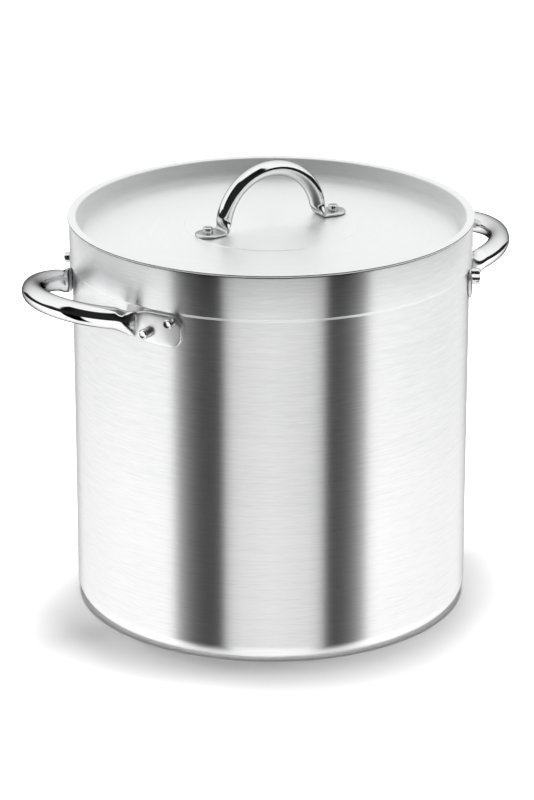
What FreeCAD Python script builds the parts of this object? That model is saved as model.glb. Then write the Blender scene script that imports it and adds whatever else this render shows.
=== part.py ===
import FreeCAD, Part
import math
import os

# A straight-sided stock pot with a sunken lid. Millimetres, +Z up.
# Origin: centre of the base, on the surface that the pot stands on.
# The two side handles stand out along +X (right) and -X (left). The front is -Y.

# Pot body: one pressed shell
WALL_R = 163.0             # outer radius of the straight wall
WALL_T = 3.0               # wall thickness
BASE_T = 5.5               # base thickness
BASE_CORNER_R = 13.0       # outer radius between wall and base
POT_H = 326.6              # height of the rim
BAND_STEP = 2.2            # how far the rim band stands out from the wall
BAND_STEP_Z = 290.5        # middle of the step under the band
BAND_STEP_H = 3.2          # height of the step
RIM_EDGE_R = 1.2           # rounding of the rim's two edges

# Lid: one pressed pan whose flange lies on the rim
LID_T = 2.0                # sheet thickness of wall and disc
FLANGE_T = 2.0             # flange thickness
FLANGE_R = 166.7           # outer radius of the flange
FLANGE_EDGE_R = 0.9        # rounding of the flange's outer edge
FLANGE_INNER_R = 160.9     # where the flange turns down into the sunken wall
FLANGE_UNDER = 0.6         # small bevel under the flange where it meets the sunken wall
SHOULDER_R = 1.4           # rounding between flange and sunken wall, on top
SUNK_DEPTH = 15.4          # from the flange top to the lowest ring of the disc
SUNK_FOOT_R = 154.6        # where the disc meets the foot rounding
FOOT_ROUND_R = 4.0         # rounding between sunken wall and disc, on top
PLATEAU_DEPTH = 10.0       # from the flange top to the flat middle of the disc
PLATEAU_R = 70.0           # radius of the flat middle
PLATEAU_EDGE = 0.5         # height of the pressed ring around the flat middle
PLATEAU_EDGE_W = 1.6       # width of that ring

# Side handles: bent tube with flattened ends
TUBE_D = 17.5
TUBE_WALL = 1.2
BEND_R = 56.0              # radius of the tube's centre line
HANDLE_TILT = 9.5          # degrees that the loop rises away from the wall
HANDLE_Z = 277.4           # height of the tube's centre at the wall
PLATE_T = 2.6              # flattened tube, two walls thick
PLATE_H = 26.4
PLATE_Z = 275.5            # middle of the plate
PLATE_FROM = 23.3          # degrees round the pot from the handle's middle
PLATE_TO = 37.6
PLATE_CORNER_R = 10.0

# Side rivets: (name, degrees round the pot from the handle's middle, height)
SIDE_RIVETS = [("near", 26.6, 270.8), ("far", 34.4, 283.4)]
RIVET_D = 8.0
RIVET_STUD = 6.5           # height of the stud above the plate
RIVET_CHAMFER = 0.8
RIVET_HEAD_D = 14.0
RIVET_HEAD_T = 2.0         # inner head, at its middle
RIVET_HEAD_EDGE = 0.8      # inner head, at its edge
DRILL_REACH = 9.0          # how far a rivet hole is drilled both ways from the sheet's inside

# Lid handle: bent tube arch with flattened feet
ARCH_D = 12.8
ARCH_WALL = 1.2
ARCH_R = 45.5              # radius of the arch's centre line
ARCH_LIFT = 2.2            # arch centre above the disc
ARCH_TURN = 4.3            # degrees that the lid sits turned from the side handles
FOOT_T = 2.8
FOOT_HEEL_W = 19.0         # width where the foot leaves the fold
FOOT_W = 21.6              # width at the rounded end
FOOT_FROM = 48.0           # start and end of the foot, out from the lid's centre
FOOT_TO = 70.4
LID_RIVET_AT = 60.0
LID_RIVET_STUD = 4.6
LID_RIVET_HEAD_D = 13.0
LID_RIVET_HEAD_T = 1.8

# How both kinds of tube are squeezed flat and folded
SQUEEZE_STEPS = 5
HEEL_SHEETS = 1.3          # thickness at the start of the fold, in sheet thicknesses
FOLD_SHEETS = 1.1          # centre-line radius of the fold, in sheet thicknesses
FOLD_STEPS = 3
SHEET_INSET = 0.97         # the tube's own end, inside the plate or foot that continues it
SIDE_SQUEEZE_DEG = 16      # where the squeezing starts, on the bend, from its end
ARCH_SQUEEZE_DEG = 16
SIDE_SHEET_AT = 62.6       # the side handle's sheets, pressed to the loop's outer side
ARCH_SHEET_AT = 45.5       # the lid handle's sheets, pressed to the tube's middle
BEND_STEPS = 14
SECTION_POINTS = 24
SQUARENESS = 1.4           # how flat-sided a fully squeezed section is
OVERRUN = 0.5              # how far shapes run into or past one another where they are joined or cut

LID_TOP = POT_H + FLANGE_T
DISC_TOP = LID_TOP - PLATEAU_DEPTH
INNER_R = WALL_R - WALL_T
Z_UP = FreeCAD.Vector(0, 0, 1)
ORIGIN = FreeCAD.Vector(0, 0, 0)


def vec(x, y, z=0.0):
    return FreeCAD.Vector(x, y, z)


# Flat outlines in the XZ plane, turned about Z

class Outline:
    """A closed outline of (r, z) points joined by lines and by arcs through a middle point."""

    def __init__(self, r, z):
        self.start = self.here = vec(r, 0, z)
        self.edges = []

    def line(self, r, z):
        there = vec(r, 0, z)
        self.edges.append(Part.LineSegment(self.here, there).toShape())
        self.here = there

    def arc(self, centre_r, centre_z, radius, middle_deg, r, z):
        """An arc about a centre, to (r, z), by way of the direction middle_deg."""
        angle = math.radians(middle_deg)
        middle = vec(centre_r + radius * math.cos(angle), 0, centre_z + radius * math.sin(angle))
        there = vec(r, 0, z)
        self.edges.append(Part.Arc(self.here, middle, there).toShape())
        self.here = there

    def turned(self):
        """The solid made by turning the closed outline about Z."""
        if self.here.distanceToPoint(self.start) > 1e-9:
            self.line(self.start.x, self.start.z)
        face = Part.Face(Part.Wire(self.edges))
        return face.revolve(ORIGIN, Z_UP, 360)


def add_step(outline, r, z, going_up):
    """Adds the S-shaped step of the rim band, from (r, z), as two equal arcs."""
    half = math.atan2(BAND_STEP, BAND_STEP_H)
    radius = BAND_STEP_H / (2 * math.sin(2 * half))
    side = 1 if going_up else -1
    mid_r, mid_z = r + side * BAND_STEP / 2, z + side * BAND_STEP_H / 2
    end_r, end_z = r + side * BAND_STEP, z + side * BAND_STEP_H
    half_deg = math.degrees(half)
    if going_up:
        outline.arc(r + radius, z, radius, 180 - half_deg, mid_r, mid_z)
        outline.arc(end_r - radius, end_z, radius, -half_deg, end_r, end_z)
    else:
        outline.arc(r - radius, z, radius, -half_deg, mid_r, mid_z)
        outline.arc(end_r + radius, end_z, radius, 180 - half_deg, end_r, end_z)


def make_pot_body():
    inner_corner = BASE_CORNER_R - WALL_T
    band_r = WALL_R + BAND_STEP
    band_inner = INNER_R + BAND_STEP
    step_low = BAND_STEP_Z - BAND_STEP_H / 2
    step_high = BAND_STEP_Z + BAND_STEP_H / 2
    rim = RIM_EDGE_R

    shell = Outline(0, 0)
    shell.line(WALL_R - BASE_CORNER_R, 0)
    shell.arc(WALL_R - BASE_CORNER_R, BASE_CORNER_R, BASE_CORNER_R, -45, WALL_R, BASE_CORNER_R)
    shell.line(WALL_R, step_low)
    add_step(shell, WALL_R, step_low, going_up=True)
    shell.line(band_r, POT_H - rim)
    shell.arc(band_r - rim, POT_H - rim, rim, 45, band_r - rim, POT_H)
    shell.line(band_inner + rim, POT_H)
    shell.arc(band_inner + rim, POT_H - rim, rim, 135, band_inner, POT_H - rim)
    shell.line(band_inner, step_high)
    add_step(shell, band_inner, step_high, going_up=False)
    shell.line(INNER_R, BASE_T + inner_corner)
    shell.arc(INNER_R - inner_corner, BASE_T + inner_corner, inner_corner, -45,
              INNER_R - inner_corner, BASE_T)
    shell.line(0, BASE_T)
    return drilled(shell.turned(), side_rivet_axes().values())


def make_lid_shell():
    foot = FOOT_ROUND_R
    shoulder = SHOULDER_R
    ring_r = PLATEAU_R + PLATEAU_EDGE_W
    ring_z = DISC_TOP - PLATEAU_EDGE
    low_z = LID_TOP - SUNK_DEPTH
    slope = math.atan2(ring_z - low_z, SUNK_FOOT_R - ring_r)

    # Upper foot rounding: leaves the disc along its slope and ends on the sunken wall.
    foot_cr = SUNK_FOOT_R + foot * math.sin(slope)
    foot_cz = low_z + foot * math.cos(slope)
    shoulder_cr = FLANGE_INNER_R
    shoulder_cz = LID_TOP - shoulder
    # The wall is the straight line that touches both roundings from opposite sides.
    across_r = shoulder_cr - foot_cr
    across_z = shoulder_cz - foot_cz
    span = math.hypot(across_r, across_z)
    lean = math.atan2(across_r, across_z) - math.asin((foot + shoulder) / span)
    out_r, out_z = math.cos(lean), -math.sin(lean)
    wall_deg = math.degrees(-lean)
    wall_low = (foot_cr + foot * out_r, foot_cz + foot * out_z)
    wall_high = (shoulder_cr - shoulder * out_r, shoulder_cz - shoulder * out_z)

    lid = Outline(0, DISC_TOP)
    lid.line(PLATEAU_R, DISC_TOP)
    lid.line(ring_r, ring_z)
    lid.line(SUNK_FOOT_R, low_z)
    foot_middle = (wall_deg - 90 - math.degrees(slope)) / 2
    lid.arc(foot_cr, foot_cz, foot, foot_middle, *wall_low)
    lid.line(*wall_high)
    shoulder_middle = (180 + wall_deg + 90) / 2
    lid.arc(shoulder_cr, shoulder_cz, shoulder, shoulder_middle, shoulder_cr, LID_TOP)
    edge = FLANGE_EDGE_R
    lid.line(FLANGE_R - edge, LID_TOP)
    lid.arc(FLANGE_R - edge, LID_TOP - edge, edge, 45, FLANGE_R, LID_TOP - edge)
    lid.line(FLANGE_R, POT_H + edge)
    lid.arc(FLANGE_R - edge, POT_H + edge, edge, -45, FLANGE_R - edge, POT_H)

    # Back along the underside, one sheet thickness away.
    under_high = (wall_high[0] + LID_T * out_r, wall_high[1] + LID_T * out_z)
    under = foot + LID_T
    lid.line(under_high[0] + FLANGE_UNDER, POT_H)
    lid.line(under_high[0], POT_H - FLANGE_UNDER)
    lid.line(wall_low[0] + LID_T * out_r, wall_low[1] + LID_T * out_z)
    lid.arc(foot_cr, foot_cz, under, foot_middle,
            foot_cr - under * math.sin(slope), foot_cz - under * math.cos(slope))
    lid.line(ring_r - LID_T * math.sin(slope), ring_z - LID_T * math.cos(slope))
    lid.line(PLATEAU_R - LID_T * math.sin(slope), DISC_TOP - LID_T)
    lid.line(0, DISC_TOP - LID_T)
    return drilled(lid.turned(), lid_rivet_axes().values())


# Bent tubes with flattened ends

def section(centre, heading, wide_way, thick, wide):
    """A closed outline across a tube: round, or flat-sided where thick is less than wide."""
    thick_way = wide_way.cross(heading)
    thick_way.normalize()
    power = 2 / (2 + SQUARENESS * (1 - thick / wide))
    points = []
    for i in range(SECTION_POINTS):
        angle = 2 * math.pi * i / SECTION_POINTS
        c, s = math.cos(angle), math.sin(angle)
        across = math.copysign(abs(c) ** power, c) * thick / 2
        along = math.copysign(abs(s) ** power, s) * wide / 2
        points.append(centre + thick_way * across + wide_way * along)
    curve = Part.BSplineCurve()
    curve.interpolate(Points=points, PeriodicFlag=True)
    return Part.Wire([curve.toShape()])


def tube_through(stations):
    """A solid through stations of (centre, heading, wide_way, thick, wide)."""
    return Part.makeLoft([section(*station) for station in stations], True, False)


def squeezed_end(tube_d, bend_r, from_deg, sheet_t, sheet_w, sheet_at, floor):
    """Stations of a tube's last stretch, from the bend's round tube to the flat sheet.

    They are (out, side, heading_deg, thick, wide, share) in the handle's own plane: out is away
    from what the handle stands on, side is away from the handle's middle, and a heading of 0 runs
    along side, -90 runs down. share goes from 0 on the round tube to 1 on the flat sheet.
    sheet_at is the sheet's own distance from the handle's middle, floor what it is folded on to.
    """
    angle = math.radians(from_deg)
    start_out, start_side = bend_r * math.sin(angle), bend_r * math.cos(angle)
    heel_t = HEEL_SHEETS * sheet_t
    fold_r = FOLD_SHEETS * sheet_t
    fold_out = floor + sheet_t / 2 + fold_r
    rows = []
    for i in range(SQUEEZE_STEPS):
        share = i / (SQUEEZE_STEPS - 1)
        ease = share * share * (3 - 2 * share)
        out = start_out + (fold_out - start_out) * share
        side = start_side + (sheet_at - start_side) * ease
        heading = -90 + from_deg * (1 - share)
        thick = tube_d + (heel_t - tube_d) * ease
        wide = tube_d + (SHEET_INSET * sheet_w - tube_d) * ease
        rows.append((out, side, heading, thick, wide, share))
    for i in range(FOLD_STEPS):
        turn = 90 * (i + 1) / FOLD_STEPS
        fold = math.radians(turn)
        out = fold_out - fold_r * math.sin(fold)
        side = sheet_at + fold_r * (1 - math.cos(fold))
        thick = heel_t + (SHEET_INSET * sheet_t - heel_t) * turn / 90
        rows.append((out, side, -90 + turn, thick, SHEET_INSET * sheet_w, 1.0))
    return rows


def handle_stations(end_rows, bend_r, from_deg, place):
    """All stations of a handle, from one end over the bend to the other."""
    rows = [(out, -side, -heading, thick, wide, share)
            for out, side, heading, thick, wide, share in reversed(end_rows)]
    tube_d = end_rows[0][3]
    for i in range(1, BEND_STEPS):
        angle_deg = from_deg + (180 - 2 * from_deg) * i / BEND_STEPS
        angle = math.radians(angle_deg)
        rows.append((bend_r * math.sin(angle), -bend_r * math.cos(angle), 90 - angle_deg,
                     tube_d, tube_d, 0.0))
    rows.extend(end_rows)
    return [place(*row) for row in rows]


def bent_tube(tube_d, tube_wall, bend_r, from_deg, sheet_t, sheet_w, sheet_at, floor, place):
    """A handle's tube with both ends squeezed and folded, hollow where it is round."""
    rows = squeezed_end(tube_d, bend_r, from_deg, sheet_t, sheet_w, sheet_at, floor)
    tube = tube_through(handle_stations(rows, bend_r, from_deg, place))
    bore_d = tube_d - 2 * tube_wall
    bore_end = [(*rows[0][:3], bore_d, bore_d, 0.0)]
    return tube.cut(tube_through(handle_stations(bore_end, bend_r, from_deg, place)))


def side_handle_place(out, side, heading, thick, wide, share):
    """A station of the right-hand side handle, in the pot's frame.

    The loop is tilted up. Where it turns into the flat sheet it stands upright, against the wall.
    """
    tilt = math.radians(HANDLE_TILT)
    lean = tilt * (1 - share)
    wall_x = math.sqrt(WALL_R ** 2 - BEND_R ** 2)
    start = vec(wall_x, side, HANDLE_Z + (PLATE_Z - HANDLE_Z) * share)
    centre = start + vec(math.cos(tilt), 0, math.sin(tilt)) * out
    outward = vec(math.cos(lean), 0, math.sin(lean))
    way = math.radians(heading)
    direction = vec(0, math.cos(way), 0) + outward * math.sin(way)
    up = vec(-math.sin(lean), 0, math.cos(lean))
    return centre, direction, up, thick, wide


def plate_on_wall(side):
    """A flattened end lying on the wall, with its two far corners rounded. side is 1 or -1."""
    low = vec(0, 0, PLATE_Z - PLATE_H / 2)
    ring = Part.makeCylinder(WALL_R + PLATE_T, PLATE_H, low)
    ring = ring.cut(Part.makeCylinder(WALL_R, PLATE_H, low))
    half_len = WALL_R * math.sin(math.radians(PLATE_TO - PLATE_FROM) / 2)
    depth = 2 * PLATE_H
    block = Part.makeBox(depth, 2 * half_len, PLATE_H, vec(0, -half_len, -PLATE_H / 2))
    far = [edge for edge in block.Edges
           if edge.CenterOfMass.distanceToPoint(vec(depth / 2, half_len, edge.CenterOfMass.z)) < OVERRUN]
    block = block.makeFillet(PLATE_CORNER_R, far)
    block.translate(vec(WALL_R - depth / 2, 0, PLATE_Z))
    block.rotate(ORIGIN, Z_UP, (PLATE_FROM + PLATE_TO) / 2)
    plate = ring.common(block)
    return plate if side > 0 else plate.mirror(ORIGIN, vec(0, 1, 0))


def make_right_handle():
    fold_y = SIDE_SHEET_AT + FOLD_SHEETS * PLATE_T
    wall_here = math.sqrt(WALL_R ** 2 - fold_y ** 2) - math.sqrt(WALL_R ** 2 - BEND_R ** 2)
    tube = bent_tube(TUBE_D, TUBE_WALL, BEND_R, SIDE_SQUEEZE_DEG, PLATE_T, PLATE_H,
                     SIDE_SHEET_AT, wall_here, side_handle_place)
    handle = tube.fuse([plate_on_wall(1), plate_on_wall(-1)])
    handle = handle.cut(Part.makeCylinder(WALL_R, POT_H))
    return drilled(handle, [axis for name, axis in side_rivet_axes().items() if "right" in name])


def lid_handle_place(out, side, heading, thick, wide, share):
    way = math.radians(heading)
    centre = vec(side, 0, DISC_TOP + ARCH_LIFT * (1 - share) + out)
    direction = vec(math.cos(way), 0, math.sin(way))
    return centre, direction, vec(0, -1, 0), thick, wide


def lid_foot(side):
    """A flat foot on the disc, widening to a rounded end. side is 1 or -1."""
    heel, half = FOOT_HEEL_W / 2, FOOT_W / 2
    end_x = FOOT_TO - half
    corners = [vec(end_x, half, DISC_TOP), vec(FOOT_FROM, heel, DISC_TOP),
               vec(FOOT_FROM, -heel, DISC_TOP), vec(end_x, -half, DISC_TOP)]
    edges = [Part.LineSegment(a, b).toShape() for a, b in zip(corners, corners[1:])]
    edges.append(Part.Arc(corners[-1], vec(FOOT_TO, 0, DISC_TOP), corners[0]).toShape())
    foot = Part.Face(Part.Wire(edges)).extrude(vec(0, 0, FOOT_T))
    return foot if side > 0 else foot.mirror(ORIGIN, vec(1, 0, 0))


def make_lid_handle():
    arch = bent_tube(ARCH_D, ARCH_WALL, ARCH_R, ARCH_SQUEEZE_DEG, FOOT_T, FOOT_HEEL_W,
                     ARCH_SHEET_AT, 0.0, lid_handle_place)
    handle = arch.fuse([lid_foot(1), lid_foot(-1)])
    handle.rotate(ORIGIN, Z_UP, ARCH_TURN)
    return drilled(handle, lid_rivet_axes().values())


# Rivets. A rivet's axis is (start, way): where it meets the sheet's inside, and outwards.

def side_rivet_axes():
    axes = {}
    for side_name, side_deg, turn in (("left", 180, -1), ("right", 0, 1)):
        for end_name, sign in (("front", -1), ("back", 1)):
            for rivet_name, from_middle, z in SIDE_RIVETS:
                angle = math.radians(side_deg + turn * sign * from_middle)
                way = vec(math.cos(angle), math.sin(angle))
                name = f"rivet_{side_name}_{end_name}_{rivet_name}"
                axes[name] = (way * INNER_R + vec(0, 0, z), way)
    return axes


def lid_rivet_axes():
    turn = math.radians(ARCH_TURN)
    out = vec(math.cos(turn), math.sin(turn)) * LID_RIVET_AT
    under = vec(0, 0, DISC_TOP - LID_T)
    return {"lid_rivet_left": (under - out, Z_UP), "lid_rivet_right": (under + out, Z_UP)}


def drilled(shape, axes):
    """The shape with a hole along each rivet axis."""
    for start, way in axes:
        shape = shape.cut(Part.makeCylinder(RIVET_D / 2, 2 * DRILL_REACH, start - way * DRILL_REACH, way))
    return shape


def stud(base, way, length):
    """A rivet's shank and outer stud, with a chamfered end."""
    straight = length - RIVET_CHAMFER
    shank = Part.makeCylinder(RIVET_D / 2, straight, base, way)
    tip = Part.makeCone(RIVET_D / 2, RIVET_D / 2 - RIVET_CHAMFER, RIVET_CHAMFER, base + way * straight, way)
    return shank.fuse(tip)


def make_side_rivet(start, way):
    """A stud outside, and a domed head inside that fits the wall's curve."""
    half = RIVET_HEAD_D / 2
    rise = RIVET_HEAD_T - RIVET_HEAD_EDGE
    dome_r = (half ** 2 + rise ** 2) / (2 * rise)
    top = start - way * RIVET_HEAD_T
    head = Part.makeCylinder(half, 2 * RIVET_HEAD_T, top - way * OVERRUN, way)
    head = head.common(Part.makeSphere(dome_r, top + way * dome_r))
    head = head.common(Part.makeCylinder(INNER_R, POT_H))
    return head.fuse(stud(start - way * OVERRUN, way, OVERRUN + WALL_T + PLATE_T + RIVET_STUD))


def make_lid_rivet(start, way):
    """A stud on top, and a flat head with a bevelled edge below."""
    half_t = LID_RIVET_HEAD_T / 2
    half = LID_RIVET_HEAD_D / 2
    bevel = Part.makeCone(RIVET_D / 2, half, half_t, start - way * LID_RIVET_HEAD_T, way)
    rest = start - way * half_t
    head = bevel.fuse(Part.makeCylinder(half, half_t, rest, way))
    return head.fuse(stud(rest, way, half_t + LID_T + FOOT_T + LID_RIVET_STUD))


def save(name, shape):
    """Write one piece, which has to be a single solid."""
    solid, = shape.removeSplitter().Solids
    print(f"{name:26s} valid {solid.isValid()} volume {solid.Volume / 1000:.2f} cm3")
    solid.exportStep(f"parts/{name}.step")


def main():
    os.makedirs("parts", exist_ok=True)
    save("pot_body", make_pot_body())
    handle = make_right_handle()
    save("side_handle_right", handle)
    handle.rotate(ORIGIN, Z_UP, 180)
    save("side_handle_left", handle)
    for name, axis in side_rivet_axes().items():
        save(name, make_side_rivet(*axis))
    save("lid_shell", make_lid_shell())
    save("lid_handle", make_lid_handle())
    for name, axis in lid_rivet_axes().items():
        save(name, make_lid_rivet(*axis))


main()
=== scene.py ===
import math

import bpy
from mathutils import Matrix, Vector


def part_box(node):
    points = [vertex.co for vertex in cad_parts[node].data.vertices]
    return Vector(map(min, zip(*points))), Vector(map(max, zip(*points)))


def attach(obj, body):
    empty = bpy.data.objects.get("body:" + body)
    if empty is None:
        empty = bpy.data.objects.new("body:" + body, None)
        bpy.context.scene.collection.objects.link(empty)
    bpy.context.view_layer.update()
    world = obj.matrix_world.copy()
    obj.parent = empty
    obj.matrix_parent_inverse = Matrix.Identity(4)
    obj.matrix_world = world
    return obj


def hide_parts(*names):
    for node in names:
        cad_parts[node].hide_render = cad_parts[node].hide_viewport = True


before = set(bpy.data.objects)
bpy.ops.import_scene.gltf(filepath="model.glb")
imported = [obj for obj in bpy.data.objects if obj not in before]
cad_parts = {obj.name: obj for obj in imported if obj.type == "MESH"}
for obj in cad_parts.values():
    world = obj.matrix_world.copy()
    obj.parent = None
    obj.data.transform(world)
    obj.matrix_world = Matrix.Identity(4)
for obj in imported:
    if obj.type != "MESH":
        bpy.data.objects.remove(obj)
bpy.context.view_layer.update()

# A brushed aluminium stock pot with a sunken satin lid and polished tube handles.
# Metres, +Z up, the pot's axis on Z. The side handles are along +X and -X, the front is -Y.

MM = 0.001

# Sizes that the frame gives
POT_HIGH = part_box("pot_body")[1]
LID_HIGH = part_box("lid_shell")[1]
RIM_R = POT_HIGH.x
POT_H = POT_HIGH.z
FLANGE_R = LID_HIGH.x
LID_TOP = LID_HIGH.z
DISC_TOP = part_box("lid_handle")[0].z

# Pot wall and base
BAND_STEP = 2.2 * MM            # the rim band stands this far out from the wall
BAND_Z = 288.9 * MM             # foot of the step under the band
BAND_STEP_H = 3.2 * MM
WALL_R = RIM_R - BAND_STEP
WALL_T = 3.0 * MM
BASE_T = 5.5 * MM
BASE_CORNER_R = 13.0 * MM
RIM_EDGE_R = 1.2 * MM

# Lid
LID_T = 2.0 * MM
FLANGE_EDGE_R = 0.9 * MM
FLANGE_LINE = 0.55 * MM         # a turned line this far down the flange's edge
FLANGE_LINE_IN = 0.6 * MM       # and this far in
FLANGE_INNER_R = FLANGE_R - 5.8 * MM
SHOULDER_R = 1.4 * MM
SUNK_DEPTH = 15.4 * MM          # flange top to the lowest ring of the disc
SUNK_FOOT_R = 154.6 * MM
FOOT_ROUND_R = 4.0 * MM
PLATEAU_R = 70.0 * MM
PLATEAU_EDGE = 0.5 * MM
PLATEAU_EDGE_W = 1.6 * MM

# Side handles
TUBE_D = 17.5 * MM
BEND_R = 56.0 * MM
HANDLE_TILT = math.radians(9.5)
HANDLE_Z = 277.4 * MM
PLATE_T = 2.6 * MM
PLATE_H = 26.4 * MM
PLATE_Z = 275.5 * MM
PLATE_TO = math.radians(37.6)   # round the pot from the handle's middle
PLATE_CORNER_R = 10.0 * MM
PLATE_HEEL_W = 20.6 * MM
PLATE_WIDENS = 16.0 * MM        # over this length from the fold

# Lid handle
ARCH_D = 12.8 * MM
ARCH_R = 45.5 * MM
ARCH_LIFT = 2.2 * MM
ARCH_TURN = math.radians(4.3)
FOOT_T = 2.8 * MM
FOOT_HEEL_W = 19.0 * MM
FOOT_W = 21.6 * MM
FOOT_TO = 70.4 * MM
FOOT_TIP = 0.06                 # least width of the foot's rounded tip, as a share of the foot's

# Rivets
STUD_R = 4.0 * MM
STUD_BEVEL = 0.8 * MM
STUD_DISH = 0.35 * MM           # how far the stud's flat end is hollowed
STUD_SOFT = 0.05 * MM           # softening of the bevel's two edges
SIDE_HEAD = (7.0 * MM, 2.0 * MM, 0.8 * MM)      # radius, height in the middle, height at the edge
LID_HEAD = (6.5 * MM, 1.8 * MM, 0.9 * MM)
HEAD_SOFT = 0.3 * MM            # rounding of the head's edge
HEAD_SEAT = 0.2 * MM            # how far the head is let into the sheet
STUD_END = 0.4 * MM             # the points this close to the outermost one are a stud's flat end

# Flattening of the tube ends
SIDE_SQUEEZE = math.radians(16)
ARCH_SQUEEZE = math.radians(16)
SIDE_SHEET_AT = 62.6 * MM       # the side handle's sheets, pressed to the loop's outer side
ARCH_SHEET_AT = 45.5 * MM
HEEL_SHEETS = 1.3
FOLD_SHEETS = 1.1
SQUARENESS = 1.4                # how flat-sided a fully squeezed section is
LATE_SQUEEZE = 2.0              # over 1 keeps the tube round for longer
SHEET_EDGE = 1.0 * MM           # rounding of a sheet's cut end
SHEET_END = 0.3                 # thickness left at the cut end, as a share of the sheet's

# Mesh density
TURNS = 384
AROUND = 72
BEND_STEPS = 96
SQUEEZE_STEPS = 28
FOLD_STEPS = 14
FLAT_STEPS = 30
END_STEPS = 12
RIVET_TURNS = 96
DISH_STEPS = 10
SHARP_ANGLE = math.radians(38)  # edges that turn by more than this are shaded sharp

# Camera, 27.2 degrees to the left of the front, looking down by 20.2 degrees
CAMERA_AT = Vector((-1.250, -2.425, 1.1705))
CAMERA_TURN = math.radians(27.2)
CAMERA_DROP = math.radians(20.23)
SENSOR_W = 36.0                 # millimetres, like the lens
LENS = 156.9


def smooth(share):
    """Eases a share of 0 to 1 in and out."""
    return share * share * (3 - 2 * share)


# Outlines turned about Z

def arc(centre_r, centre_z, radius, from_deg, to_deg, steps=8):
    """Points of an arc in the (r, z) plane."""
    points = []
    for i in range(steps + 1):
        angle = math.radians(from_deg + (to_deg - from_deg) * i / steps)
        points.append((centre_r + radius * math.cos(angle), centre_z + radius * math.sin(angle)))
    return points


def soft_step(r, z, across, up, steps=12):
    """Points of an S-shaped step that starts at (r, z)."""
    points = []
    for i in range(steps + 1):
        share = i / steps
        points.append((r + across * (1 - math.cos(math.pi * share)) / 2, z + up * share))
    return points


def turned_mesh(outline, turns=TURNS):
    """Vertices and faces of an (r, z) outline turned about Z. Its two ends lie on the axis."""
    rings = outline[1:-1]
    angles = [2 * math.pi * i / turns for i in range(turns)]
    verts = [(0, 0, outline[0][1])]
    for r, z in rings:
        verts.extend((r * math.cos(a), r * math.sin(a), z) for a in angles)
    verts.append((0, 0, outline[-1][1]))
    last = len(verts) - 1
    top = 1 + (len(rings) - 1) * turns
    faces = []
    for i in range(turns):
        j = (i + 1) % turns
        faces.append((0, 1 + j, 1 + i))
        for k in range(len(rings) - 1):
            a, b = 1 + k * turns, 1 + (k + 1) * turns
            faces.append((a + i, a + j, b + j, b + i))
        faces.append((top + i, top + j, last))
    return verts, faces


def pot_outline():
    inner_r = WALL_R - WALL_T
    inner_corner = BASE_CORNER_R - WALL_T
    rim = RIM_EDGE_R
    outline = [(0, 0), (0.5 * WALL_R, 0)]
    outline += arc(WALL_R - BASE_CORNER_R, BASE_CORNER_R, BASE_CORNER_R, -90, 0, 20)
    outline += soft_step(WALL_R, BAND_Z, BAND_STEP, BAND_STEP_H)
    outline += arc(RIM_R - rim, POT_H - rim, rim, 0, 90)
    outline += arc(RIM_R - WALL_T + rim, POT_H - rim, rim, 90, 180)
    outline += soft_step(inner_r + BAND_STEP, BAND_Z + BAND_STEP_H, -BAND_STEP, -BAND_STEP_H)
    outline += arc(inner_r - inner_corner, BASE_T + inner_corner, inner_corner, 0, -90, 20)
    outline += [(0.5 * WALL_R, BASE_T), (0, BASE_T)]
    return outline


def lid_outline():
    ring_r = PLATEAU_R + PLATEAU_EDGE_W
    ring_z = DISC_TOP - PLATEAU_EDGE
    low_z = LID_TOP - SUNK_DEPTH
    slope = math.atan2(ring_z - low_z, SUNK_FOOT_R - ring_r)
    foot_cr = SUNK_FOOT_R + FOOT_ROUND_R * math.sin(slope)
    foot_cz = low_z + FOOT_ROUND_R * math.cos(slope)
    shoulder_cr, shoulder_cz = FLANGE_INNER_R, LID_TOP - SHOULDER_R
    # The sunken wall touches both roundings, from opposite sides.
    across, up = shoulder_cr - foot_cr, shoulder_cz - foot_cz
    lean = math.atan2(across, up) - math.asin((FOOT_ROUND_R + SHOULDER_R) / math.hypot(across, up))
    wall_deg = -math.degrees(lean)
    slope_deg = math.degrees(slope)
    edge = FLANGE_EDGE_R

    outline = [(0, DISC_TOP), (0.5 * PLATEAU_R, DISC_TOP)]
    outline += soft_step(PLATEAU_R + PLATEAU_EDGE_W / 3, DISC_TOP, PLATEAU_EDGE_W / 3, -PLATEAU_EDGE)
    outline.append((ring_r, ring_z))
    outline += arc(foot_cr, foot_cz, FOOT_ROUND_R, -90 - slope_deg, wall_deg, 16)
    outline += arc(shoulder_cr, shoulder_cz, SHOULDER_R, 180 + wall_deg, 90)
    outline += arc(FLANGE_R - edge, LID_TOP - edge, edge, 90, 48, 6)
    outline.append((FLANGE_R - FLANGE_LINE_IN, LID_TOP - FLANGE_LINE))
    outline += arc(FLANGE_R - edge, POT_H + edge, edge, 10, -90)
    under = FOOT_ROUND_R + LID_T
    outline += [(shoulder_cr - SHOULDER_R + LID_T + 2 * edge, POT_H)]
    outline += arc(foot_cr, foot_cz, under, wall_deg, -90 - slope_deg, 16)
    outline += [(r, z - LID_T) for r, z in soft_step(ring_r, ring_z, -PLATEAU_EDGE_W, PLATEAU_EDGE)]
    outline += [(0.5 * PLATEAU_R, DISC_TOP - LID_T), (0, DISC_TOP - LID_T)]
    return outline


# Bent tubes with flattened, folded ends

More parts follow.
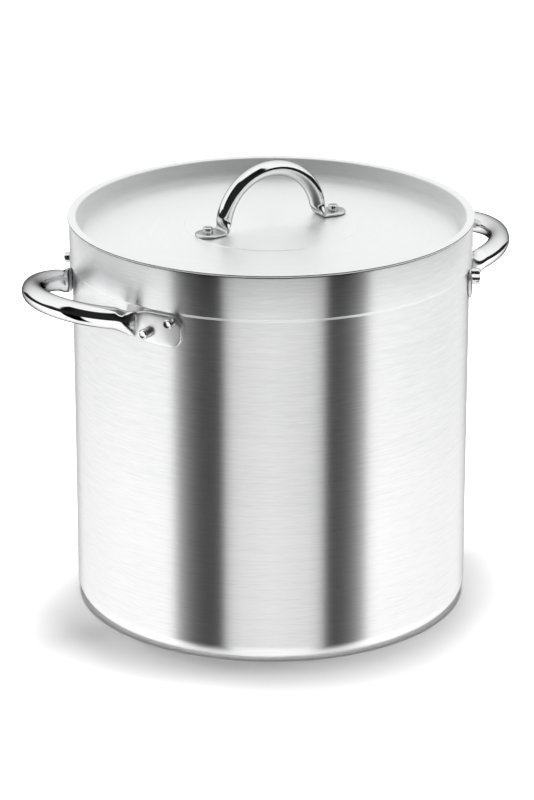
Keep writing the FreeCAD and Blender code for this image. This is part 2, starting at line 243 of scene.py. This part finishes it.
def swept_mesh(stations):
    """A closed tube through (centre, heading, wide_way, thick, wide, share) stations.

    Gives vertices, faces, and each vertex's share: 0 on the round tube, 1 on the pressed sheet.
    """
    verts, pressed = [], []
    for centre, heading, wide_way, thick, wide, share in stations:
        pressed.extend([share] * AROUND)
        thick_way = wide_way.cross(heading).normalized()
        power = 2 / (2 + SQUARENESS * (1 - thick / max(thick, wide)))
        for i in range(AROUND):
            angle = 2 * math.pi * i / AROUND
            c, s = math.cos(angle), math.sin(angle)
            along = math.copysign(abs(s) ** power, s)
            across = math.copysign(abs(c) ** power, c)
            verts.append(centre + thick_way * (across * thick / 2) + wide_way * (along * wide / 2))
    faces = []
    for k in range(len(stations) - 1):
        a, b = k * AROUND, (k + 1) * AROUND
        for i in range(AROUND):
            j = (i + 1) % AROUND
            faces.append((a + i, a + j, b + j, b + i))
    last = (len(stations) - 1) * AROUND
    faces.append(tuple(range(AROUND))[::-1])
    faces.append(tuple(last + i for i in range(AROUND)))
    return verts, faces, pressed


def squeezed_rows(tube_d, bend_r, from_angle, sheet_t, sheet_w, sheet_at, fold_out, fold_turn):
    """Rows (out, side, heading, thick, wide, share) from the round bend to the flat sheet.

    out is away from what the handle stands on, side is away from the handle's middle, and a
    heading of 0 runs along side. share goes from 0 on the round tube to 1 on the sheet.
    """
    start_out = bend_r * math.sin(from_angle)
    heel_t = HEEL_SHEETS * sheet_t
    fold_r = FOLD_SHEETS * sheet_t
    # The path goes on round the bend and is eased over to where the sheet stands.
    shift = sheet_at - math.sqrt(bend_r ** 2 - fold_out ** 2)
    rows = []
    for i in range(SQUEEZE_STEPS + 1):
        share = i / SQUEEZE_STEPS
        ease = smooth(share ** LATE_SQUEEZE)
        out = start_out + (fold_out - start_out) * share
        rows.append((out,
                     math.sqrt(bend_r ** 2 - out ** 2) + shift * ease,
                     -math.pi / 2 + from_angle * (1 - share),
                     tube_d + (heel_t - tube_d) * ease,
                     tube_d + (sheet_w - tube_d) * ease,
                     share))
    for i in range(1, FOLD_STEPS + 1):
        turn = fold_turn * i / FOLD_STEPS
        rows.append((fold_out - fold_r * math.sin(turn),
                     sheet_at + fold_r * (1 - math.cos(turn)),
                     -math.pi / 2 + turn,
                     heel_t + (sheet_t - heel_t) * i / FOLD_STEPS,
                     sheet_w, 1.0))
    return rows


def whole_handle(end_rows, bend_r, from_angle, tube_d):
    """All rows of a handle: one end, the round bend, and the other end."""
    rows = [(out, -side, -heading, *rest) for out, side, heading, *rest in reversed(end_rows)]
    for i in range(1, BEND_STEPS):
        angle = from_angle + (math.pi - 2 * from_angle) * i / BEND_STEPS
        rows.append((bend_r * math.sin(angle), -bend_r * math.cos(angle), math.pi / 2 - angle,
                     tube_d, tube_d, 0.0))
    return rows + end_rows


def spread_to_end(length, end_length):
    """Distances from a sheet's cut end, from length down to 0, close together at the end."""
    flat = [length - (length - end_length) * i / FLAT_STEPS for i in range(1, FLAT_STEPS)]
    tip = [end_length * (1 - math.sin(0.5 * math.pi * i / END_STEPS)) for i in range(END_STEPS + 1)]
    return flat + tip


def rounded_off(distance, radius):
    """How much of a corner's radius is left at this distance from the end: 0 at the end, 1 inside."""
    if distance >= radius:
        return 1.0
    return math.sqrt(max(0.0, 1 - (1 - distance / radius) ** 2))


def sheet_thickness(sheet_t, distance):
    """A sheet's thickness at this distance from its cut end."""
    return sheet_t * (SHEET_END + (1 - SHEET_END) * rounded_off(distance, SHEET_EDGE))


def side_handle_stations():
    mid_r = WALL_R + PLATE_T / 2
    fold_r = FOLD_SHEETS * PLATE_T
    wall_x = math.sqrt(WALL_R ** 2 - BEND_R ** 2)
    # The fold's centre line is an arc that touches the plate's curve.
    touch = math.asin((SIDE_SHEET_AT + fold_r) / (mid_r + fold_r))
    fold_out = (mid_r + fold_r) * math.cos(touch) - wall_x
    rows = squeezed_rows(TUBE_D, BEND_R, SIDE_SQUEEZE, PLATE_T, PLATE_HEEL_W, SIDE_SHEET_AT,
                         fold_out, math.pi / 2 - touch)
    plate_len = (PLATE_TO - touch) * mid_r
    for distance in spread_to_end(plate_len, PLATE_CORNER_R):
        angle = PLATE_TO - distance / mid_r
        narrow = 1 - min(1.0, (plate_len - distance) / PLATE_WIDENS)
        wide = (PLATE_H - (PLATE_H - PLATE_HEEL_W) * narrow ** 2
                - 2 * PLATE_CORNER_R * (1 - rounded_off(distance, PLATE_CORNER_R)))
        rows.append((mid_r * math.cos(angle) - wall_x, mid_r * math.sin(angle), -angle,
                     sheet_thickness(PLATE_T, distance), wide, 1.0))
    stations = []
    for out, side, heading, thick, wide, share in whole_handle(rows, BEND_R, SIDE_SQUEEZE, TUBE_D):
        ease = smooth(share)
        lean = HANDLE_TILT * (1 - ease)
        outward = Vector((math.cos(lean), 0, math.sin(lean)))
        up = Vector((-math.sin(lean), 0, math.cos(lean)))
        start = Vector((wall_x, side, HANDLE_Z + (PLATE_Z - HANDLE_Z) * ease))
        way = Vector((0, math.cos(heading), 0)) + outward * math.sin(heading)
        stations.append((start + outward * out, way, up, thick, wide, share))
    return stations


def lid_handle_stations():
    fold_out = FOOT_T / 2 + FOLD_SHEETS * FOOT_T
    rows = squeezed_rows(ARCH_D, ARCH_R, ARCH_SQUEEZE, FOOT_T, FOOT_HEEL_W, ARCH_SHEET_AT, fold_out,
                         math.pi / 2)
    start = rows[-1][1]
    end_r = FOOT_W / 2
    for distance in spread_to_end(FOOT_TO - start, end_r):
        side = FOOT_TO - distance
        widening = min(1.0, (side - start) / (FOOT_TO - end_r - start))
        full_w = FOOT_HEEL_W + (FOOT_W - FOOT_HEEL_W) * widening
        wide = full_w * max(FOOT_TIP, rounded_off(distance, end_r))
        rows.append((FOOT_T / 2, side, 0.0, sheet_thickness(FOOT_T, distance), wide, 1.0))
    turn = Matrix.Rotation(ARCH_TURN, 3, "Z")
    stations = []
    for out, side, heading, thick, wide, share in whole_handle(rows, ARCH_R, ARCH_SQUEEZE, ARCH_D):
        lift = ARCH_LIFT * (1 - smooth(share))
        centre = turn @ Vector((side, 0, DISC_TOP + lift + out))
        way = turn @ Vector((math.cos(heading), 0, math.sin(heading)))
        stations.append((centre, way, turn @ Vector((0, -1, 0)), thick, wide, share))
    return stations


# Rivets, turned about their own axis: local Z points out of the sheet, and 0 is the stud's tip

def rivet_outline(length, head_r, head_t, head_edge):
    """A low domed head at -length, a shank, and a blunt stud with a hollowed end at 0."""
    dome_r = (head_r ** 2 + (head_t - head_edge) ** 2) / (2 * (head_t - head_edge))
    reach = math.degrees(math.asin((head_r - HEAD_SOFT) / dome_r))
    dome = arc(0, -length + dome_r, dome_r, -90, -90 + reach, 14)
    edge_z = dome[-1][1] + HEAD_SOFT
    seat_z = -length + head_t + HEAD_SEAT
    flat_r = STUD_R - STUD_BEVEL - 2 * STUD_SOFT
    outline = [(0, -length)] + dome[1:]
    outline += [(head_r - HEAD_SOFT / 3, edge_z - 0.4 * HEAD_SOFT), (head_r, edge_z)]
    outline += [(head_r, seat_z), (STUD_R, seat_z)]
    outline += [(STUD_R, -STUD_BEVEL - 2 * STUD_SOFT), (STUD_R - STUD_SOFT, -STUD_BEVEL)]
    outline += [(STUD_R - STUD_BEVEL + STUD_SOFT, -STUD_SOFT), (flat_r, 0)]
    for i in range(1, DISH_STEPS + 1):
        share = i / DISH_STEPS
        outline.append((flat_r * (1 - share), -STUD_DISH * math.sin(0.5 * math.pi * share)))
    return outline


def rivet_axis(node, on_lid):
    """(tip, way, length) of a rivet, read from its CAD node."""
    points = [v.co.copy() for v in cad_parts[node].data.vertices]
    low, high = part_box(node)
    middle = (low + high) / 2
    way = Vector((0, 0, 1))
    if not on_lid:
        # A side rivet points away from the pot's axis, through the middle of its stud's flat end.
        far = max(math.hypot(p.x, p.y) for p in points)
        end = [p for p in points if math.hypot(p.x, p.y) > far - STUD_END]
        end_middle = sum(end, Vector()) / len(end)
        middle = Vector((end_middle.x, end_middle.y, middle.z))
        way = Vector((middle.x, middle.y, 0)).normalized()
    along = [p.dot(way) for p in points]
    tip = middle + way * (max(along) - middle.dot(way))
    return tip, way, max(along) - min(along)


# Materials

class Nodes:
    """A small helper that adds and links shader nodes."""

    def __init__(self, name):
        self.material = bpy.data.materials.new(name)
        self.material.use_nodes = True
        self.tree = self.material.node_tree
        self.shader = self.tree.nodes["Principled BSDF"]

    def add(self, kind, **settings):
        node = self.tree.nodes.new(kind)
        for key, value in settings.items():
            setattr(node, key, value)
        return node

    def link(self, source, target):
        self.tree.links.new(source, target)

    def value(self, target, source):
        """Feeds a socket from another socket, or sets it to a number."""
        if isinstance(source, bpy.types.NodeSocket):
            self.link(source, target)
        else:
            target.default_value = source

    def math(self, operation, a, b=0.0):
        node = self.add("ShaderNodeMath", operation=operation)
        self.value(node.inputs[0], a)
        self.value(node.inputs[1], b)
        return node.outputs[0]

    def spread(self, source, low, high, to_low, to_high):
        """Maps low..high of a socket to to_low..to_high, clamped."""
        node = self.add("ShaderNodeMapRange", clamp=True)
        self.link(source, node.inputs["Value"])
        for name, number in (("From Min", low), ("From Max", high), ("To Min", to_low), ("To Max", to_high)):
            node.inputs[name].default_value = number
        return node.outputs["Result"]

    def noise(self, vector, scale, detail, roughness):
        node = self.add("ShaderNodeTexNoise")
        self.link(vector, node.inputs["Vector"])
        node.inputs["Scale"].default_value = scale
        node.inputs["Detail"].default_value = detail
        node.inputs["Roughness"].default_value = roughness
        return node.outputs["Fac"]

    def combine(self, x, y, z):
        node = self.add("ShaderNodeCombineXYZ")
        for socket, source in zip(node.inputs, (x, y, z)):
            self.value(socket, source)
        return node.outputs["Vector"]

    def tint(self, factor, first, second):
        """A colour between two others, each a socket or (red, green, blue)."""
        node = self.add("ShaderNodeMix", data_type="RGBA")
        self.value(node.inputs["Factor"], factor)
        for name, colour in (("A", first), ("B", second)):
            self.value(node.inputs[name], (*colour, 1) if isinstance(colour, tuple) else colour)
        return node.outputs["Result"]

    def bump(self, layers):
        """Chains (height, strength, distance) layers into the shader's normal."""
        normal = None
        for height, strength, distance in layers:
            node = self.add("ShaderNodeBump")
            node.inputs["Strength"].default_value = strength
            node.inputs["Distance"].default_value = distance
            self.link(height, node.inputs["Height"])
            if normal is not None:
                self.link(normal, node.inputs["Normal"])
            normal = node.outputs["Normal"]
        self.link(normal, self.shader.inputs["Normal"])

    def set(self, **inputs):
        for name, value in inputs.items():
            self.shader.inputs[name.replace("_", " ")].default_value = value


# Colour of the painted shade lines in the joint under the lid's flange and in the flange's turned line
PAINTED_SHADE_COLOUR = (0.05, 0.05, 0.052)
RING_DULLNESS = 0.45                    # roughness that a dull ring adds
PRESSED_DULLNESS = 0.26                 # roughness that pressing the tube flat adds
DARK_EDGES = (0.12, 0.12, 0.12, 1)      # holds back the bright rim of a polished piece


def turned_coordinates(nodes):
    """(place, x, y, z, r, across) in the piece's own space.

    r is the distance from the Z axis. across counts up from one turning mark to the next.
    """
    place = nodes.add("ShaderNodeTexCoord").outputs["Object"]
    split = nodes.add("ShaderNodeSeparateXYZ")
    nodes.link(place, split.inputs[0])
    x, y, z = split.outputs
    r = nodes.math("SQRT", nodes.math("ADD", nodes.math("MULTIPLY", x, x), nodes.math("MULTIPLY", y, y)))
    return place, x, y, z, r, nodes.math("ADD", z, r)


def brushed_metal(name, dark, light, rough_low, rough_high, anisotropy, mark_depth, mark_width,
                  shade_lines, dull_ring=None):
    """Turned or brushed aluminium: fine marks run round the Z axis and spread light up and down.

    Each dark line is (z, half width, from radius) of painted shade: in the joint where the lid's flange sits
    on the pot's rim, and in the flange's turned line. dull_ring is (from radius, top z) of a rougher ring.
    """
    nodes = Nodes(name)
    place, x, y, z, r, across = turned_coordinates(nodes)

    def marks(along_scale, width):
        return nodes.noise(nodes.combine(nodes.math("MULTIPLY", x, along_scale),
                                         nodes.math("MULTIPLY", y, along_scale),
                                         nodes.math("DIVIDE", across, width)), 1.0, 3.0, 0.6)

    fine = marks(60.0, mark_width)
    broad = marks(12.0, 3.5 * mark_width)
    clouds = nodes.noise(place, 7.0, 3.0, 0.5)
    scratches = marks(80.0, 0.6 * mark_width)

    tone = nodes.math("ADD", nodes.math("MULTIPLY", fine, 0.6), nodes.math("MULTIPLY", broad, 0.25))
    tone = nodes.math("ADD", tone, nodes.math("MULTIPLY", clouds, 0.15))
    # Painted reflection and shade: a little paler towards the foot, where the bright floor close by would be
    # mirrored, and darker towards the rim.
    tone = nodes.math("ADD", tone, nodes.spread(z, 0.10, 0.33, 0.10, -0.12))
    colour = nodes.tint(nodes.spread(tone, 0.36, 0.64, 0, 1), dark, light)
    # Painted shade: dark lines where the lid's flange meets the pot's rim and along the flange's turned line
    painted_shade = 0.0
    for line_z, half, from_r in shade_lines:
        away = nodes.math("ABSOLUTE", nodes.math("SUBTRACT", z, line_z))
        line = nodes.math("MULTIPLY", nodes.spread(away, 0.6 * half, half, 1, 0),
                          nodes.spread(r, from_r - 0.2 * MM, from_r, 0, 1))
        painted_shade = nodes.math("MAXIMUM", line, painted_shade)
    nodes.link(nodes.tint(painted_shade, colour, PAINTED_SHADE_COLOUR), nodes.shader.inputs["Base Color"])
    rough = nodes.math("ADD", nodes.math("MULTIPLY", fine, 0.6), nodes.math("MULTIPLY", scratches, 0.4))
    rough = nodes.spread(rough, 0.3, 0.7, rough_low, rough_high)
    if dull_ring is not None:
        from_r, top_z = dull_ring
        ring = nodes.math("MULTIPLY", nodes.spread(r, from_r, from_r + 2 * MM, 0, RING_DULLNESS),
                          nodes.spread(z, top_z - 2 * MM, top_z, 1, 0))
        rough = nodes.math("ADD", rough, ring)
    nodes.link(rough, nodes.shader.inputs["Roughness"])
    nodes.bump([(fine, 0.25, mark_depth), (scratches, 0.2, mark_depth)])
    tangent = nodes.add("ShaderNodeTangent", direction_type="RADIAL", axis="Z")
    nodes.link(tangent.outputs[0], nodes.shader.inputs["Tangent"])
    nodes.set(Metallic=1.0, Anisotropic=anisotropy, Anisotropic_Rotation=0.25)
    return nodes.material


def polished_steel(name):
    """Polished tube: nearly a mirror, with faint polishing marks and smudges, duller where pressed."""
    nodes = Nodes(name)
    place = nodes.add("ShaderNodeTexCoord").outputs["Object"]
    smudges = nodes.noise(place, 38.0, 5.0, 0.65)
    fine = nodes.noise(place, 900.0, 3.0, 0.7)
    wave = nodes.noise(place, 60.0, 2.0, 0.4)
    nodes.link(nodes.tint(smudges, (0.80, 0.805, 0.81), (0.90, 0.90, 0.90)),
               nodes.shader.inputs["Base Color"])
    rough = nodes.math("ADD", nodes.math("MULTIPLY", smudges, 0.7), nodes.math("MULTIPLY", fine, 0.3))
    pressed = nodes.add("ShaderNodeAttribute", attribute_name="pressed").outputs["Fac"]
    dull = nodes.math("MULTIPLY", nodes.spread(pressed, 0.4, 1.0, 0.0, PRESSED_DULLNESS),
                      nodes.math("ADD", smudges, 0.5))
    nodes.link(nodes.math("ADD", nodes.spread(rough, 0.35, 0.7, 0.05, 0.11), dull),
               nodes.shader.inputs["Roughness"])
    nodes.bump([(wave, 0.25, 0.15 * MM), (fine, 0.05, 0.03 * MM)])
    nodes.set(Metallic=1.0, Specular_Tint=DARK_EDGES)
    return nodes.material


def rivet_metal(name):
    """Bright pressed aluminium with fine rings round the rivet's own axis."""
    nodes = Nodes(name)
    place, x, y, _, _, across = turned_coordinates(nodes)
    rings = nodes.noise(nodes.combine(nodes.math("MULTIPLY", x, 150.0), nodes.math("MULTIPLY", y, 150.0),
                                      nodes.math("MULTIPLY", across, 2600.0)), 1.0, 2.0, 0.6)
    spots = nodes.noise(place, 420.0, 4.0, 0.6)
    nodes.link(nodes.tint(spots, (0.72, 0.725, 0.73), (0.90, 0.90, 0.90)), nodes.shader.inputs["Base Color"])
    nodes.link(nodes.spread(spots, 0.3, 0.7, 0.12, 0.26), nodes.shader.inputs["Roughness"])
    nodes.bump([(rings, 0.3, 0.03 * MM), (spots, 0.2, 0.05 * MM)])
    nodes.set(Metallic=1.0, Specular_Tint=DARK_EDGES)
    return nodes.material


# Pieces

def add_piece(name, mesh_parts, material, body, node, place=None):
    """A smooth mesh piece that rides on its body and stands for its CAD node."""
    verts, faces, *pressed = mesh_parts
    mesh = bpy.data.meshes.new(name)
    mesh.from_pydata(verts, [], faces)
    if pressed:
        mesh.attributes.new("pressed", "FLOAT", "POINT").data.foreach_set("value", pressed[0])
    mesh.shade_smooth()
    mesh.set_sharp_from_angle(angle=SHARP_ANGLE)
    mesh.materials.append(material)
    piece = bpy.data.objects.new(name, mesh)
    if place is not None:
        piece.matrix_world = place
    bpy.context.scene.collection.objects.link(piece)
    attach(piece, body)
    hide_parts(node)


def flipped(mesh_parts):
    """The same mesh with its faces turned round."""
    verts, faces = mesh_parts
    return verts, [face[::-1] for face in faces]


def add_rivets(material):
    for node in sorted(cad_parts):
        if "rivet" not in node:
            continue
        on_lid = node.startswith("lid")
        tip, way, length = rivet_axis(node, on_lid)
        outline = rivet_outline(length, *(LID_HEAD if on_lid else SIDE_HEAD))
        place = Matrix.Translation(tip) @ way.to_track_quat("Z", "Y").to_matrix().to_4x4()
        add_piece(node.replace("rivet", "stud"), turned_mesh(outline, RIVET_TURNS), material,
                  "lid" if on_lid else "pot", node, place)


def build_pot():
    # The wall gets a painted shade line at its rim, under the lid's flange; the lid gets painted shade in
    # its flange's turned line and on the flange's underside at the rim
    wall = brushed_metal("brushed_aluminium", (0.84, 0.845, 0.85), (0.99, 0.99, 0.99),
                         0.276, 0.31, 1.0, 0.04 * MM, 0.8 * MM, [(POT_H, 0.9 * MM, RIM_R - 1.4 * MM)])
    satin = brushed_metal("satin_aluminium", (0.92, 0.925, 0.925), (0.97, 0.97, 0.97),
                          0.40, 0.48, 0.4, 0.01 * MM, 1.4 * MM,
                          [(LID_TOP - FLANGE_LINE, 0.3 * MM, FLANGE_R - 1.0 * MM),
                           (POT_H, 0.35 * MM, FLANGE_R - 2.0 * MM)],
                          (SUNK_FOOT_R - 2 * MM, LID_TOP))
    steel = polished_steel("polished_steel")
    studs = rivet_metal("rivet_aluminium")
    add_piece("brushed_pot", turned_mesh(pot_outline()), wall, "pot", "pot_body")
    add_piece("satin_lid", flipped(turned_mesh(lid_outline())), satin, "lid", "lid_shell")
    loop = swept_mesh(side_handle_stations())
    for side, turn in (("right", 0), ("left", math.pi)):
        add_piece(f"{side}_loop_handle", loop, steel, "pot", f"side_handle_{side}",
                  Matrix.Rotation(turn, 4, "Z"))
    add_piece("arch_handle", swept_mesh(lid_handle_stations()), steel, "lid", "lid_handle")
    add_rivets(studs)


# Studio

FLOOR_HALF = 12.0
FLOOR_STEPS = 24
FLOOR_GLOW = 0.9                # the floor glows far out, so that it stays pale in every view
FLOOR_GLOW_FROM = 0.75          # distances from the pot's axis at which the glow starts
FLOOR_GLOW_FULL = 2.2           # and is full


def build_floor():
    """A pale floor that fills the view, with a faint paper tooth. The metal does not mirror it."""
    ticks = [FLOOR_HALF * (2 * i / FLOOR_STEPS - 1) for i in range(FLOOR_STEPS + 1)]
    verts = [(x, y, 0) for y in ticks for x in ticks]
    row = len(ticks)
    faces = [(j * row + i, j * row + i + 1, (j + 1) * row + i + 1, (j + 1) * row + i)
             for j in range(FLOOR_STEPS) for i in range(FLOOR_STEPS)]
    mesh = bpy.data.meshes.new("floor")
    mesh.from_pydata(verts, [], faces)
    nodes = Nodes("pale_floor")
    place, _, _, _, r, _ = turned_coordinates(nodes)
    grain = nodes.noise(place, 300.0, 3.0, 0.6)
    nodes.link(nodes.tint(grain, (0.90, 0.90, 0.90), (0.92, 0.92, 0.92)), nodes.shader.inputs["Base Color"])
    nodes.link(nodes.spread(r, FLOOR_GLOW_FROM, FLOOR_GLOW_FULL, 0.0, FLOOR_GLOW),
               nodes.shader.inputs["Emission Strength"])
    nodes.set(Roughness=1.0, Specular_IOR_Level=0.0)
    mesh.materials.append(nodes.material)
    floor = bpy.data.objects.new("floor", mesh)
    bpy.context.scene.collection.objects.link(floor)
    floor.visible_glossy = False


# Studio surroundings that the metal mirrors, as (degrees round from CAMERA_AT, brightness). They
# stand still in the room when the view moves.
BELOW = [                       # under the horizon: the pale floor, with dark screens standing on it
    (-180, 0.16), (-162, 0.16), (-150, 1.20), (-110, 1.32), (-66, 1.46), (-59, 1.25), (-57.5, 0.0),
    (-28.5, 0.0), (-27, 1.10), (0, 1.28), (31, 1.10), (32.5, 0.0), (57, 0.0), (58.5, 1.25), (65, 1.46),
    (110, 1.32), (150, 1.20), (162, 0.16), (180, 0.16),
]
ABOVE = [                       # over it: soft boxes at the sides and back, dark on the camera's side
    (-180, 0.98), (-150, 0.98), (-66, 1.12), (-60, 1.00), (-57, 0.0), (-25, 0.02),
    (25, 0.02), (55, 0.0), (57, 1.00), (62, 1.12), (150, 0.98), (180, 0.98),
]
HORIZON = 0.02                  # between them, a dark gap
HORIZON_LOW = -0.20             # sine of its lower edge
HORIZON_TOP = [                 # sine of its upper edge, shut at the back; lifted by one
    (-180, 0.78), (-150, 0.78), (-130, 1.06), (-90, 1.10), (-72, 1.26),
    (75, 1.26), (120, 1.15), (150, 0.78), (180, 0.78),
]
HORIZON_EDGE = 0.02
NADIR = 1.15                    # the bright floor close by
NADIR_FROM = -0.80              # sine of the height at which it starts to show
NADIR_FULL = -0.92
CEILING = 1.08
CEILING_FROM = 0.86             # sine of the height
CEILING_FULL = 0.90


def build_world():
    """Soft boxes and dark screens all round, under a bright ceiling. They do not light the floor."""
    world = bpy.data.worlds.new("studio")
    bpy.context.scene.world = world
    world.use_nodes = True
    world.cycles_visibility.diffuse = False
    tree = world.node_tree
    add, link = tree.nodes.new, tree.links.new

    def calc(operation, a, b=0.0):
        node = add("ShaderNodeMath")
        node.operation = operation
        for socket, source in zip(node.inputs, (a, b)):
            if isinstance(source, bpy.types.NodeSocket):
                link(source, socket)
            else:
                socket.default_value = source
        return node.outputs[0]

    split = add("ShaderNodeSeparateXYZ")
    link(add("ShaderNodeTexCoord").outputs["Generated"], split.inputs[0])
    x, y, z = split.outputs
    towards = Vector((CAMERA_AT.x, CAMERA_AT.y, 0)).normalized()
    ahead = calc("ADD", calc("MULTIPLY", x, towards.x), calc("MULTIPLY", y, towards.y))
    right = calc("ADD", calc("MULTIPLY", x, -towards.y), calc("MULTIPLY", y, towards.x))
    turn = calc("ADD", calc("DIVIDE", calc("ARCTAN2", right, ahead), 2 * math.pi), 0.5)

    def round_about(levels):
        ramp = add("ShaderNodeValToRGB")
        link(turn, ramp.inputs[0])
        stops = ramp.color_ramp.elements
        while len(stops) > 1:
            stops.remove(stops[-1])
        for i, (degrees, level) in enumerate(levels):
            stop = stops[0] if i == 0 else stops.new(0.5 + degrees / 360)
            stop.position = 0.5 + degrees / 360
            stop.color = (level, level, level, 1)
        return ramp.outputs["Color"]

    def soft_share(height, low, high):
        """0 below low, 1 above high, by the sine of the height."""
        share = add("ShaderNodeMapRange")
        share.interpolation_type = "SMOOTHSTEP"
        link(height, share.inputs["Value"])
        share.inputs["From Min"].default_value = low
        share.inputs["From Max"].default_value = high
        return share.outputs["Result"]

    def mixed(factor, first, second):
        mix = add("ShaderNodeMix")
        mix.data_type = "RGBA"
        link(factor, mix.inputs["Factor"])
        for socket, source in ((mix.inputs["A"], first), (mix.inputs["B"], second)):
            if isinstance(source, bpy.types.NodeSocket):
                link(source, socket)
            else:
                socket.default_value = (source, source, source, 1)
        return mix.outputs["Result"]

    low = mixed(soft_share(z, NADIR_FULL, NADIR_FROM), NADIR, round_about(BELOW))
    low = mixed(soft_share(z, HORIZON_LOW - HORIZON_EDGE, HORIZON_LOW), low, HORIZON)
    over_top = calc("SUBTRACT", calc("ADD", z, 1.0), round_about(HORIZON_TOP))
    sides = mixed(soft_share(over_top, 0.0, HORIZON_EDGE), low, round_about(ABOVE))
    whole = mixed(soft_share(z, CEILING_FROM, CEILING_FULL), sides, CEILING)
    link(whole, tree.nodes["Background"].inputs["Color"])


def add_soft_box(name, place, size, energy):
    """A square soft box that faces straight down and is not seen in the metal."""
    light = bpy.data.lights.new(name, "AREA")
    light.shape = "SQUARE"
    light.size = size
    light.energy = energy
    box = bpy.data.objects.new(name, light)
    box.visible_glossy = False
    box.location = place
    bpy.context.scene.collection.objects.link(box)


def build_lights():
    """One box overhead and a little behind makes the short shadow at the pot's foot."""
    add_soft_box("overhead_box", (0.11, 0.22, 2.6), 1.1, 146.0)


def build_camera():
    data = bpy.data.cameras.new("camera")
    data.sensor_width = SENSOR_W
    data.lens = LENS
    camera = bpy.data.objects.new("camera", data)
    camera.location = CAMERA_AT
    camera.rotation_euler = (math.pi / 2 - CAMERA_DROP, 0, -CAMERA_TURN)
    bpy.context.scene.collection.objects.link(camera)
    bpy.context.scene.camera = camera


build_pot()
build_floor()
build_world()
build_lights()
build_camera()
bpy.context.scene.view_settings.view_transform = "Standard"
